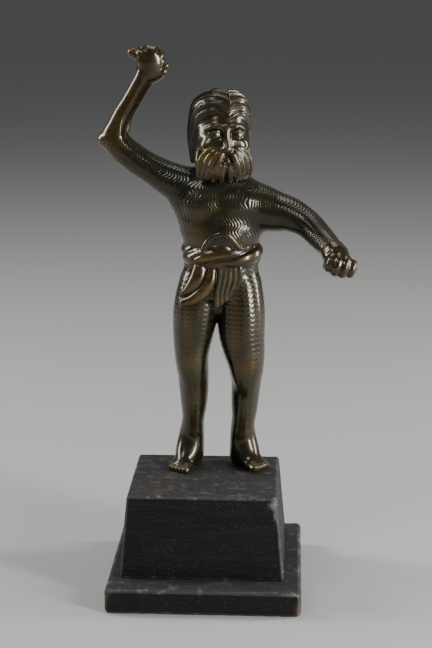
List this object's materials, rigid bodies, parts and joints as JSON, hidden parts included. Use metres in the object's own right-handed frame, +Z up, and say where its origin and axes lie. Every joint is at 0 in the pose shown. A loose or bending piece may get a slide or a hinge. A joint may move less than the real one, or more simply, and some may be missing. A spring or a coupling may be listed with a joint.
{
  "type": "wild man statuette",
  "caption": "Small cast-bronze figure of a bearded, fur-covered wild man with one arm raised holding a broken club stub, on a stepped square plinth of blackened wood.",
  "frame": {"origin": "middle of the plinth slab's underside", "axes": "+Z up, the figure faces -Y, its raised right arm is at -X"},
  "size_m": [0.1001, 0.075, 0.2118],
  "materials": {
    "bronze": "old cast bronze, waxed, a glossy brown-black patina with golden brown rubbed high places and dark recesses",
    "blackened_wood": "black stained wood, dull, with grey dusty scuffs on top and bare brown wood at worn corners"
  },
  "bodies": {
    "root": {"wild_man_figure": "bronze", "plinth_block": "blackened_wood", "plinth_slab": "blackened_wood"}
  },
  "joints": []
}
